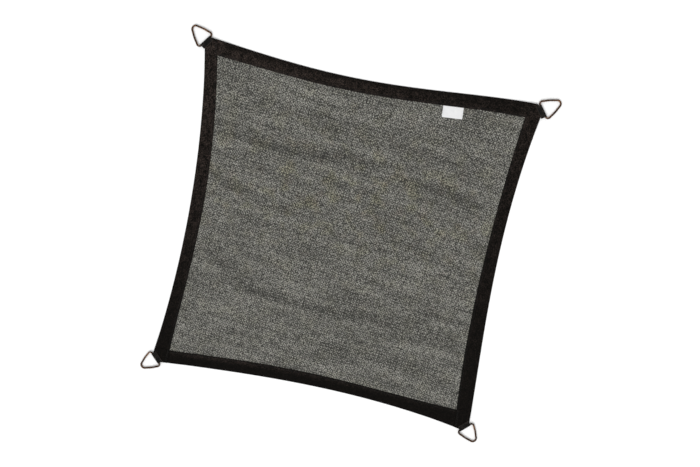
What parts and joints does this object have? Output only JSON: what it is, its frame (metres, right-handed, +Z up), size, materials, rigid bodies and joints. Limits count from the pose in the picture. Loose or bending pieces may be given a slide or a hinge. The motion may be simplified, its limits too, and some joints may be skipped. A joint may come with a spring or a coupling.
{
  "type": "shade sail",
  "caption": "Square shade sail of black knitted mesh with inward-curving bound edges and a delta ring in a webbing tab at each corner, spread flat.",
  "frame": {"origin": "on the floor, under the middle of the sail's bounding box", "axes": "+Z up from the floor, +Y from the middle towards the side with the label, +X to the right of it seen from above"},
  "size_m": [2.0256, 2.017, 0.0142],
  "materials": {
    "mesh": "fine knitted monofilament and tape mesh, charcoal speckled with light showing through",
    "binding": "the same mesh doubled over, black",
    "webbing": "flat black webbing",
    "steel": "polished, dark brown",
    "label": "white woven ribbon, bare"
  },
  "bodies": {
    "root": {"panel": "mesh", "binding_top": "binding", "binding_bottom": "binding", "binding_left": "binding", "binding_right": "binding", "tab_top_left": "webbing", "tab_top_right": "webbing", "tab_bottom_right": "webbing", "tab_bottom_left": "webbing", "ring_top_left": "steel", "ring_top_right": "steel", "ring_bottom_right": "steel", "ring_bottom_left": "steel", "label": "label"}
  },
  "joints": []
}
